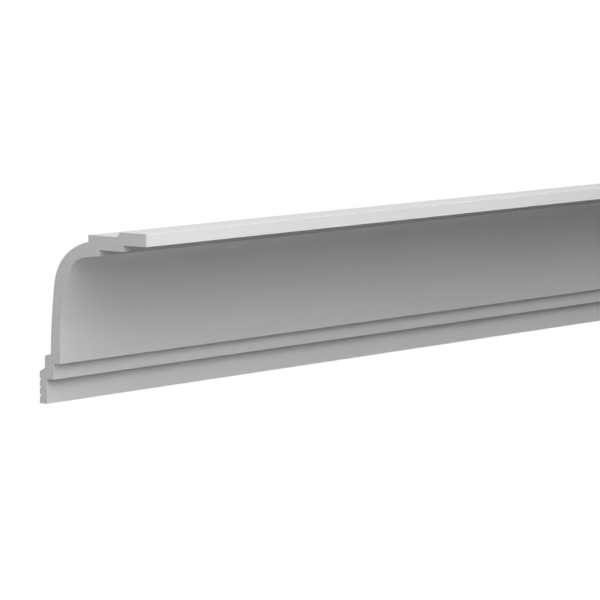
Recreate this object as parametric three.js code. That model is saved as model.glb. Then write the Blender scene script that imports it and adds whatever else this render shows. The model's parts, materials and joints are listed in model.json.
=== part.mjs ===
// A straight length of plain ceiling cornice in primed hard foam, one metre long.
// Its section is drawn once and run along the length: a grooved foot glued to the wall,
// two small steps, a tall cove, and three steps out to the block glued to the ceiling.
// Millimetres, +X along the length, +Z up. The room is on the -Y side and the wall on +Y.
// The origin is on the wall face, half way along, on the land above the lowest glue groove.

import * as THREE from 'three';

// Overall size
const LENGTH = 1000;
const HEIGHT = 110;
const PROJECTION = 89;

// Foot: the flat strip against the wall, with its glue grooves
const FOOT_THICKNESS = 6;
const LAND_HEIGHT = 20;
const GROOVE_COUNT = 3;
const GROOVE_PITCH = 5;
const GROOVE_MOUTH = 1.4;
const GROOVE_FLOOR = 0.8;
const GROOVE_DEPTH = 0.85;

// Relief behind the foot: the back stands clear of the wall above the land
const RELIEF_DEPTH = 4.4;
const RELIEF_RISE = 2.6;
const LEDGE_CORNER = { out: 5.1, up: 30.4 };
const RELIEF_TOP = 29.0;

// Two steps below the cove: how far each face stands out, and how high its underside is
const LOWER_STEP = { out: 12.1, up: 15.5 };
const COVE_FOOT = { out: 17.4, up: 25.6 };

// Cove face: upright to here, then three arcs that run into each other.
// A lean is an angle from the upright, in degrees.
const COVE_SPRING = 39.7;
const COVE_ARCS = [
  { radius: 115, lean: 22.5 },
  { radius: 15.25, lean: 81 },
  { radius: 150, lean: 85.75 },
];

// Back of the cove: starts at the ledge above the relief and leans out behind the cove face
const BACK_START = { out: 9.45, up: 31.35, lean: 1.34 };
const BACK_ARCS = [
  { radius: 395, lean: 7.75 },
  { radius: 30, lean: 58 },
  { radius: 46, lean: 78 },
];

// Head: the rear block above the cove, and the front block that reaches the ceiling
const REAR_TOP = 107;
const REAR_UNDERSIDE = 98.2;
const FRONT_UNDERSIDE = 102.1;
const FRONT_START = 70.2;
const CEILING_FACE_START = 67.9;
const BEVEL_FOOT = 65.3;

// The arrises that show are eased by this radius, and curves keep to this chord error
const ARRIS = 0.2;
const CHORD_ERROR = 0.005;

function point(out, up) {
  return new THREE.Vector2(out, up);
}

function stepsFor(radius, turn) {
  return Math.max(2, Math.ceil(turn / (2 * Math.acos(1 - CHORD_ERROR / radius))));
}

// Arcs that follow on from one another, each leaning further out over the room than the last
function bentRun(start, startLean, arcs) {
  const run = [start];
  let lean = THREE.MathUtils.degToRad(startLean);
  for (const arc of arcs) {
    const last = run.at(-1);
    const end = THREE.MathUtils.degToRad(arc.lean);
    const centre = point(
      last.x + arc.radius * Math.cos(lean),
      last.y - arc.radius * Math.sin(lean),
    );
    const steps = stepsFor(arc.radius, end - lean);
    for (let i = 1; i <= steps; i += 1) {
      const angle = lean + ((end - lean) * i) / steps;
      run.push(point(
        centre.x - arc.radius * Math.cos(angle),
        centre.y + arc.radius * Math.sin(angle),
      ));
    }
    lean = end;
  }
  return run;
}

// A square outer corner eased by a small quarter round, met from one side and left by another
function easedCorner(corner, cameFrom, goesTo) {
  const into = corner.clone().sub(cameFrom).normalize();
  const away = goesTo.clone().sub(corner).normalize();
  const centre = corner.clone().addScaledVector(into, -ARRIS).addScaledVector(away, ARRIS);
  const steps = stepsFor(ARRIS, Math.PI / 2);
  const round = [];
  for (let i = 0; i <= steps; i += 1) {
    const angle = (Math.PI / 2) * (i / steps);
    round.push(centre.clone()
      .addScaledVector(away, -ARRIS * Math.cos(angle))
      .addScaledVector(into, ARRIS * Math.sin(angle)));
  }
  return round;
}

// One glue groove in the wall face, narrower at its floor, drawn upwards
function glueGroove(middle) {
  return [
    point(0, middle - GROOVE_MOUTH / 2),
    point(GROOVE_DEPTH, middle - GROOVE_FLOOR / 2),
    point(GROOVE_DEPTH, middle + GROOVE_FLOOR / 2),
    point(0, middle + GROOVE_MOUTH / 2),
  ];
}

// Everything on the wall side, from the bottom corner up to the rear block's top
function wallSide() {
  const line = [point(0, 0)];
  for (let i = 1; i <= GROOVE_COUNT; i += 1) {
    line.push(...glueGroove(i * GROOVE_PITCH));
  }
  line.push(
    point(0, LAND_HEIGHT),
    point(RELIEF_DEPTH, LAND_HEIGHT + RELIEF_RISE),
    point(RELIEF_DEPTH, RELIEF_TOP),
    point(LEDGE_CORNER.out, LEDGE_CORNER.up),
  );
  const back = bentRun(point(BACK_START.out, BACK_START.up), BACK_START.lean, BACK_ARCS);
  line.push(...back, point(back.at(-1).x, REAR_TOP));
  return line;
}

// Everything on the room side, from the ceiling face down to the bottom of the foot
function roomSide() {
  const cove = bentRun(point(COVE_FOOT.out, COVE_SPRING), 0, COVE_ARCS).reverse();
  const coveTop = cove.shift();
  const frontTop = point(PROJECTION, HEIGHT);
  const frontBottom = point(PROJECTION, FRONT_UNDERSIDE);
  const rearInner = point(FRONT_START, FRONT_UNDERSIDE);
  const rearOuter = point(FRONT_START, REAR_UNDERSIDE);
  const coveInner = point(coveTop.x, REAR_UNDERSIDE);
  const coveBottom = point(COVE_FOOT.out, COVE_FOOT.up);
  const stepInner = point(LOWER_STEP.out, COVE_FOOT.up);
  const stepOuter = point(LOWER_STEP.out, LOWER_STEP.up);
  const footInner = point(FOOT_THICKNESS, LOWER_STEP.up);
  const footBottom = point(FOOT_THICKNESS, 0);
  return [
    ...easedCorner(frontTop, point(CEILING_FACE_START, HEIGHT), frontBottom),
    ...easedCorner(frontBottom, frontTop, rearInner),
    rearInner,
    ...easedCorner(rearOuter, rearInner, coveInner),
    coveInner,
    ...easedCorner(coveTop, coveInner, point(0, coveTop.y)),
    ...cove.slice(1),
    ...easedCorner(coveBottom, point(COVE_FOOT.out, COVE_SPRING), stepInner),
    stepInner,
    ...easedCorner(stepOuter, stepInner, footInner),
    footInner,
    ...easedCorner(footBottom, footInner, point(0, 0)),
  ];
}

function corniceSection() {
  return new THREE.Shape([
    ...wallSide(),
    point(BEVEL_FOOT, REAR_TOP),
    point(CEILING_FACE_START, HEIGHT),
    ...roomSide(),
  ]);
}

// The section is run along the length, turned so that its own up stays up and its
// outward direction faces the room, and set with the origin on the wall face.
function corniceLength() {
  const originHeight = 1.5 * GROOVE_PITCH;
  const geometry = new THREE.ExtrudeGeometry(corniceSection(), {
    depth: LENGTH,
    steps: 1,
    bevelEnabled: false,
  });
  geometry.translate(0, -originHeight, -LENGTH / 2);
  geometry.rotateX(Math.PI / 2);
  geometry.rotateZ(-Math.PI / 2);
  const primedFoam = new THREE.MeshStandardMaterial({
    color: 0xe9e9e7,
    roughness: 0.85,
    metalness: 0,
  });
  const length = new THREE.Mesh(geometry, primedFoam);
  length.name = 'cornice_length';
  return length;
}

const cornice = new THREE.Group();
cornice.add(corniceLength());

export default cornice;
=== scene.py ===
import json
import math

import bpy
from mathutils import Matrix, Vector

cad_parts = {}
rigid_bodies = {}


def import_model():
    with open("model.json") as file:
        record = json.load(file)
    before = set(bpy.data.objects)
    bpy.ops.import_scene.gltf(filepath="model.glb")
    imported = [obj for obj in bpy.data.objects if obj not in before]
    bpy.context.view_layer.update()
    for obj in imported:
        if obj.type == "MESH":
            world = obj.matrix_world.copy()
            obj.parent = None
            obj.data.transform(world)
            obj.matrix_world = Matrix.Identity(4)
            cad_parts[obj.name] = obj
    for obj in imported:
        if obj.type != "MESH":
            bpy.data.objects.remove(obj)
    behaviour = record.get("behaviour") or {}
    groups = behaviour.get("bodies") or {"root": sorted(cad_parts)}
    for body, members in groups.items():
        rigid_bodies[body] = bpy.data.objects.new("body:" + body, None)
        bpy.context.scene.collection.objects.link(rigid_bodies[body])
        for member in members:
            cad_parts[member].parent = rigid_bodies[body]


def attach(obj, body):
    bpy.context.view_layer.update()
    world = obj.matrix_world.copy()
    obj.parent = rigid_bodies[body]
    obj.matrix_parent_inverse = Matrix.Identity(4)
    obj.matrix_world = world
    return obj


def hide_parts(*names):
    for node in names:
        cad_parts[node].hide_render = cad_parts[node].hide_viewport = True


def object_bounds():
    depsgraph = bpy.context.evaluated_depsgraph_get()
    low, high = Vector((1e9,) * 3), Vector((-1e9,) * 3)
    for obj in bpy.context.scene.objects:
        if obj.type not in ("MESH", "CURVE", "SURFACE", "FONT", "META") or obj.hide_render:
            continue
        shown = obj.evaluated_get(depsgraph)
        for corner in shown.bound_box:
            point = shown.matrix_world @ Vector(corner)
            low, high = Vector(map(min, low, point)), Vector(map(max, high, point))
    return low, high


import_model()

cad_low, cad_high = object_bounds()


# Camera. It stands in the room, out past the near end of the cornice and a little above
# it, and looks along the front and slightly down, with the long lens of a product picture.
CAMERA_PAST_END = 1.653
CAMERA_FROM_WALL = 1.5685
CAMERA_ABOVE_FOOT = 0.3068
CAMERA_HEADING = 39.441
CAMERA_DIP = 6.09
PICTURE_SIDE = 600
FOCAL_PIXELS = 3700
SENSOR = 36.0
NEAREST_SEEN = 0.05
FARTHEST_SEEN = 500

bpy.ops.object.select_all(action="DESELECT")
bpy.ops.object.camera_add(
    location=(
        cad_low.x - CAMERA_PAST_END,
        cad_high.y - CAMERA_FROM_WALL,
        cad_low.z + CAMERA_ABOVE_FOOT,
    ),
    rotation=(math.radians(90 - CAMERA_DIP), 0, math.radians(CAMERA_HEADING - 90)),
)
camera = bpy.context.object
camera.name = "camera"
camera.data.sensor_width = SENSOR
camera.data.lens = SENSOR * FOCAL_PIXELS / PICTURE_SIDE
camera.data.clip_start = NEAREST_SEEN
camera.data.clip_end = FARTHEST_SEEN
bpy.context.scene.camera = camera


# Cornice length. One extruded piece of hard white foamed polymer with a thin coat of matt
# primer on its faces, sawn square at both ends, and glued by its foot and its front block.
# Its section is drawn as two sides, joined at the foot and the head, and run to its length.
MM = 0.001
FOOT_THICKNESS = 6.0
LAND_TOP = 20.0
GROOVE_MIDDLES = (5.0, 10.0, 15.0)
GROOVE_MOUTH = 1.4
GROOVE_FLOOR = 0.8
GROOVE_DEPTH = 0.85
RELIEF = ((4.4, 22.6), (4.4, 29.0), (5.1, 30.4))
STEPS = ((12.1, 15.5), (17.4, 25.6))
COVE_SPRING = 39.7
COVE_ARCS = ((115, 0, 22.5), (15.25, 22.5, 81), (150, 81, 85.75))
BACK_START = (9.45, 31.35)
BACK_ARCS = ((395, 1.34, 7.75), (30, 7.75, 58), (46, 58, 78))
REAR_TOP = 107.0
REAR_UNDERSIDE = 98.2
FRONT_START = 70.2
FRONT_UNDERSIDE = 102.1
CEILING_FACE_START = 67.9
BEVEL_FOOT = 65.3
DEGREES_PER_STEP = 1.6
ARRIS = 0.2
BACK_EASE = 0.2
SAME_PLACE = 0.01 * MM
SMOOTH_UNDER = 5

projection = (cad_high.y - cad_low.y) / MM
height = (cad_high.z - cad_low.z) / MM


def place(out, up):
    """A point of the section, given in millimetres out from the wall and up from the foot."""
    return Vector((cad_low.x, cad_high.y - out * MM, cad_low.z + up * MM))


def start_line(out, up):
    """One loose point in the mesh being edited, selected alone."""
    bpy.ops.mesh.select_all(action="DESELECT")
    bpy.ops.mesh.primitive_plane_add(size=MM, location=place(out, up))
    bpy.ops.mesh.merge(type="CENTER")
    return place(out, up)


def line_to(here, *points):
    """Runs the line on from the selected point through each of the points."""
    for out, up in points:
        there = place(out, up)
        bpy.ops.mesh.extrude_region_move(TRANSFORM_OT_translate={"value": there - here})
        here = there
    return here


def bend_on(here, arcs):
    """Runs the line on through arcs. Each has a radius and the leans where it starts and ends."""
    for radius, lean, end_lean in arcs:
        start = math.radians(lean)
        turn = math.radians(end_lean) - start
        centre = here + Vector((0, -math.cos(start), -math.sin(start))) * radius * MM
        bpy.ops.mesh.spin(
            steps=max(3, round((end_lean - lean) / DEGREES_PER_STEP)),
            angle=-turn,
            center=centre,
            axis=(1, 0, 0),
            dupli=False,
        )
        here = centre + Matrix.Rotation(turn, 3, "X") @ (here - centre)
    return here


def select_points(mesh, *points):
    """Selects just the vertices at these places of the mesh being edited."""
    bpy.ops.mesh.select_all(action="DESELECT")
    bpy.ops.object.mode_set(mode="OBJECT")
    for vertex in mesh.vertices:
        vertex.select = any((vertex.co - point).length < SAME_PLACE for point in points)
    bpy.ops.object.mode_set(mode="EDIT")


def ease(mesh, corners, radius, segments):
    """Rounds the long edges that run through these corners of the section."""
    lines = [place(out, up) for out, up in corners]
    bpy.ops.mesh.select_all(action="DESELECT")
    bpy.ops.object.mode_set(mode="OBJECT")
    for edge in mesh.edges:
        ends = [mesh.vertices[index].co for index in edge.vertices]
        edge.select = any(
            all(math.dist(end.yz, line.yz) < SAME_PLACE for end in ends) for line in lines
        )
    bpy.ops.object.mode_set(mode="EDIT")
    bpy.ops.mesh.select_mode(type="EDGE")
    bpy.ops.mesh.bevel(offset=radius * MM, segments=segments, affect="EDGES")
    bpy.ops.mesh.select_mode(type="VERT")


bpy.ops.object.select_all(action="DESELECT")
bpy.ops.mesh.primitive_plane_add(size=MM, location=(0, 0, 0))
moulding = bpy.context.object
moulding.name = "cornice_moulding"
bpy.ops.object.mode_set(mode="EDIT")
bpy.ops.mesh.select_mode(type="VERT")
bpy.ops.mesh.delete(type="VERT")

lower_step, cove_foot = STEPS
here = start_line(FOOT_THICKNESS, 0)
here = line_to(
    here,
    (FOOT_THICKNESS, lower_step[1]),
    lower_step,
    (lower_step[0], cove_foot[1]),
    cove_foot,
    (cove_foot[0], COVE_SPRING),
)
cove_top = bend_on(here, COVE_ARCS)
cove_top_out = (cad_high.y - cove_top.y) / MM
line_to(
    cove_top,
    (cove_top_out, REAR_UNDERSIDE),
    (FRONT_START, REAR_UNDERSIDE),
    (FRONT_START, FRONT_UNDERSIDE),
    (projection, FRONT_UNDERSIDE),
    (projection, height),
    (CEILING_FACE_START, height),
    (BEVEL_FOOT, REAR_TOP),
)

here = start_line(0, 0)
for middle in GROOVE_MIDDLES:
    here = line_to(
        here,
        (0, middle - GROOVE_MOUTH / 2),
        (GROOVE_DEPTH, middle - GROOVE_FLOOR / 2),
        (GROOVE_DEPTH, middle + GROOVE_FLOOR / 2),
        (0, middle + GROOVE_MOUTH / 2),
    )
here = line_to(here, (0, LAND_TOP), *RELIEF, BACK_START)
back_top = bend_on(here, BACK_ARCS)
back_top_out = (cad_high.y - back_top.y) / MM
line_to(back_top, (back_top_out, REAR_TOP))
bpy.ops.mesh.select_linked()
bpy.ops.object.vertex_group_assign_new()

select_points(moulding.data, place(0, 0), place(FOOT_THICKNESS, 0))
bpy.ops.mesh.edge_face_add()
select_points(moulding.data, place(back_top_out, REAR_TOP), place(BEVEL_FOOT, REAR_TOP))
bpy.ops.mesh.edge_face_add()
bpy.ops.mesh.select_all(action="SELECT")
bpy.ops.mesh.edge_face_add()
bpy.ops.mesh.extrude_region_move(
    TRANSFORM_OT_translate={"value": (cad_high.x - cad_low.x, 0, 0)}
)
bpy.ops.mesh.select_all(action="SELECT")
bpy.ops.mesh.normals_make_consistent(inside=False)

cove_top_up = (cove_top.z - cad_low.z) / MM
room_corners = (
    (projection, height),
    (projection, FRONT_UNDERSIDE),
    (FRONT_START, REAR_UNDERSIDE),
    (cove_top_out, cove_top_up),
    cove_foot,
    lower_step,
    (FOOT_THICKNESS, 0),
)
back_corners = (
    (0, 0),
    (0, LAND_TOP),
    RELIEF[-1],
    (back_top_out, REAR_TOP),
    (CEILING_FACE_START, height),
)
ease(moulding.data, room_corners, radius=ARRIS, segments=5)
ease(moulding.data, back_corners, radius=BACK_EASE, segments=3)
bpy.ops.object.mode_set(mode="OBJECT")
bpy.ops.object.shade_smooth_by_angle(angle=math.radians(SMOOTH_UNDER))

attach(moulding, "root")
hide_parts("cornice_length")


NOISE_LOW = 0.3
NOISE_HIGH = 0.7


def new_finish(name):
    """A new material, the shader in it, and the moulding's own coordinates for its patterns."""
    made = bpy.data.materials.new(name)
    made.use_nodes = True
    nodes = made.node_tree.nodes
    return made, nodes["Principled BSDF"], nodes.new("ShaderNodeTexCoord").outputs["Object"]


def grain(finish, coordinates, size, drawn_out=1, detail=3):
    """Cloudy grain with lumps of this size in millimetres, drawn out along the length."""
    nodes = finish.node_tree.nodes
    links = finish.node_tree.links
    mapping = nodes.new("ShaderNodeMapping")
    mapping.inputs["Scale"].default_value = (1 / drawn_out, 1, 1)
    noise = nodes.new("ShaderNodeTexNoise")
    noise.inputs["Scale"].default_value = 1 / (size * MM)
    noise.inputs["Detail"].default_value = detail
    links.new(coordinates, mapping.inputs["Vector"])
    links.new(mapping.outputs["Vector"], noise.inputs["Vector"])
    return noise.outputs["Fac"]


def vary(finish, pattern, low, high, socket):
    """Lets a pattern swing a plain number between two values."""
    span = finish.node_tree.nodes.new("ShaderNodeMapRange")
    span.inputs["From Min"].default_value = NOISE_LOW
    span.inputs["From Max"].default_value = NOISE_HIGH
    span.inputs["To Min"].default_value = low
    span.inputs["To Max"].default_value = high
    finish.node_tree.links.new(pattern, span.inputs["Value"])
    finish.node_tree.links.new(span.outputs["Result"], socket)


def tint(finish, pattern, shader, dark, light):
    """Lets a pattern swing the colour between two shades."""
    ramp = finish.node_tree.nodes.new("ShaderNodeValToRGB")
    ramp.color_ramp.elements[0].position = NOISE_LOW
    ramp.color_ramp.elements[0].color = (*dark, 1)
    ramp.color_ramp.elements[1].position = NOISE_HIGH
    ramp.color_ramp.elements[1].color = (*light, 1)
    finish.node_tree.links.new(pattern, ramp.inputs["Fac"])
    finish.node_tree.links.new(ramp.outputs["Color"], shader.inputs["Base Color"])


def emboss(finish, pattern, shader, depth):
    """Raises and sinks the surface by a pattern, this deep in millimetres, over any before."""
    links = finish.node_tree.links
    bump = finish.node_tree.nodes.new("ShaderNodeBump")
    bump.inputs["Distance"].default_value = depth * MM
    for link in shader.inputs["Normal"].links:
        links.new(link.from_socket, bump.inputs["Normal"])
    links.new(pattern, bump.inputs["Height"])
    links.new(bump.outputs["Normal"], shader.inputs["Normal"])


def matt_primer():
    """Factory primer on the faces: dead matt white with a fine sprayed grain."""
    finish, shader, here = new_finish("matt_primer")
    clouds = grain(finish, here, size=45, drawn_out=3)
    tint(finish, clouds, shader, dark=(0.805, 0.805, 0.803), light=(0.835, 0.835, 0.833))
    vary(finish, grain(finish, here, size=6), 0.74, 0.88, shader.inputs["Roughness"])
    emboss(finish, grain(finish, here, size=3.5, drawn_out=60), shader, depth=0.02)
    emboss(finish, grain(finish, here, size=0.9, detail=4), shader, depth=0.07)
    return finish


def drawn_skin():
    """The foam's own skin on the wall side: satin, with the drag lines of the die."""
    finish, shader, here = new_finish("drawn_skin")
    clouds = grain(finish, here, size=30, drawn_out=12)
    tint(finish, clouds, shader, dark=(0.74, 0.735, 0.72), light=(0.82, 0.815, 0.80))
    shine = grain(finish, here, size=2, drawn_out=40)
    vary(finish, shine, 0.48, 0.68, shader.inputs["Roughness"])
    emboss(finish, grain(finish, here, size=1.6, drawn_out=120), shader, depth=0.12)
    emboss(finish, grain(finish, here, size=0.7), shader, depth=0.04)
    return finish


CELL_SIZE = 0.45
BLADE_CENTRE = Vector((0, -0.19, -0.12))
SAW_ARC_SPACING = 1.7
WAVE_NODE_FACTOR = 20


def sawn_foam():
    """The cut ends: closed cells sliced open, and the arcs that the saw blade left."""
    finish, shader, here = new_finish("sawn_foam")
    nodes = finish.node_tree.nodes
    links = finish.node_tree.links
    cells = nodes.new("ShaderNodeTexVoronoi")
    cells.inputs["Scale"].default_value = 1 / (CELL_SIZE * MM)
    links.new(here, cells.inputs["Vector"])
    blade = nodes.new("ShaderNodeMapping")
    blade.inputs["Location"].default_value = -BLADE_CENTRE
    arcs = nodes.new("ShaderNodeTexWave")
    arcs.wave_type = "RINGS"
    arcs.rings_direction = "X"
    arcs.inputs["Scale"].default_value = math.tau / (WAVE_NODE_FACTOR * SAW_ARC_SPACING * MM)
    arcs.inputs["Distortion"].default_value = 2.5
    arcs.inputs["Detail Scale"].default_value = 0.4
    links.new(here, blade.inputs["Vector"])
    links.new(blade.outputs["Vector"], arcs.inputs["Vector"])
    clouds = grain(finish, here, size=5)
    tint(finish, clouds, shader, dark=(0.795, 0.795, 0.79), light=(0.835, 0.835, 0.83))
    vary(finish, grain(finish, here, size=1.5), 0.84, 0.96, shader.inputs["Roughness"])
    emboss(finish, arcs.outputs["Fac"], shader, depth=0.03)
    emboss(finish, cells.outputs["Distance"], shader, depth=0.08)
    return finish


primed, drawn, sawn = matt_primer(), drawn_skin(), sawn_foam()
for finish in (primed, drawn, sawn):
    moulding.data.materials.append(finish)
bpy.ops.object.mode_set(mode="EDIT")
bpy.ops.mesh.select_all(action="DESELECT")
bpy.ops.object.vertex_group_select()
moulding.active_material_index = moulding.data.materials.find(drawn.name)
bpy.ops.object.material_slot_assign()
bpy.ops.object.mode_set(mode="OBJECT")
bpy.ops.object.vertex_group_remove(all=True)
for face in moulding.data.polygons:
    if abs(face.normal.x) > 0.9:
        face.material_index = moulding.data.materials.find(sawn.name)


# Studio. A white floor far below, bright enough to vanish as it does in the picture, and
# large softboxes round the front, with two low ones behind that only the wall side sees.
FLOOR_DROP = 7.0
FLOOR_SIZE = 300
AIM = Vector((cad_low.x + 0.25, cad_high.y - 0.05, cad_low.z + 0.05))
AMBIENT = 0.02

bpy.ops.object.select_all(action="DESELECT")
bpy.ops.mesh.primitive_plane_add(size=FLOOR_SIZE, location=(0, 0, cad_low.z - FLOOR_DROP))
floor = bpy.context.object
floor.name = "floor"
floor.visible_diffuse = False
floor.visible_glossy = False
floor.visible_shadow = False
paper = bpy.data.materials.new("white_floor")
paper.use_nodes = True
shader = paper.node_tree.nodes["Principled BSDF"]
shader.inputs["Base Color"].default_value = (0.9, 0.9, 0.9, 1)
shader.inputs["Emission Color"].default_value = (1, 1, 1, 1)
shader.inputs["Emission Strength"].default_value = 1.0
floor.data.materials.append(paper)


def softbox(name, azimuth, elevation, watts, across=1.0, away=2.0):
    """A round soft light. Its azimuth is in degrees round from the room towards +X."""
    turn = math.radians(azimuth)
    rise = math.radians(elevation)
    toward = Vector(
        (math.sin(turn) * math.cos(rise), -math.cos(turn) * math.cos(rise), math.sin(rise))
    )
    bpy.ops.object.light_add(
        type="AREA",
        location=AIM + toward * away,
        rotation=toward.to_track_quat("Z", "Y").to_euler(),
    )
    light = bpy.context.object
    light.name = name
    light.data.shape = "DISK"
    light.data.size = across
    light.data.energy = watts
    light.visible_camera = False


softbox("front_softbox", -35, 32, 31.2, across=2.2)
softbox("high_front_softbox", 2, 60, 19.2)
softbox("far_side_softbox", 35, 52, 8.8, across=2.2)
softbox("near_end_softbox", -80, 12, 4.4)
softbox("low_end_softbox", -70, -45, 4.6)
softbox("under_softbox", -60, -75, 4.3)
softbox("behind_softbox", 165, -20, 22.0)
softbox("far_end_softbox", 112, -20, 12.0)

world = bpy.data.worlds.new("studio")
bpy.context.scene.world = world
world.use_nodes = True
nodes = world.node_tree.nodes
links = world.node_tree.links
dim = nodes["Background"]
dim.inputs["Color"].default_value = (1, 1, 1, 1)
dim.inputs["Strength"].default_value = AMBIENT
bright = nodes.new("ShaderNodeBackground")
bright.inputs["Color"].default_value = (1, 1, 1, 1)
path = nodes.new("ShaderNodeLightPath")
either = nodes.new("ShaderNodeMixShader")
links.new(path.outputs["Is Camera Ray"], either.inputs["Fac"])
links.new(dim.outputs["Background"], either.inputs[1])
links.new(bright.outputs["Background"], either.inputs[2])
links.new(either.outputs["Shader"], nodes["World Output"].inputs["Surface"])
bpy.context.scene.view_settings.view_transform = "Standard"
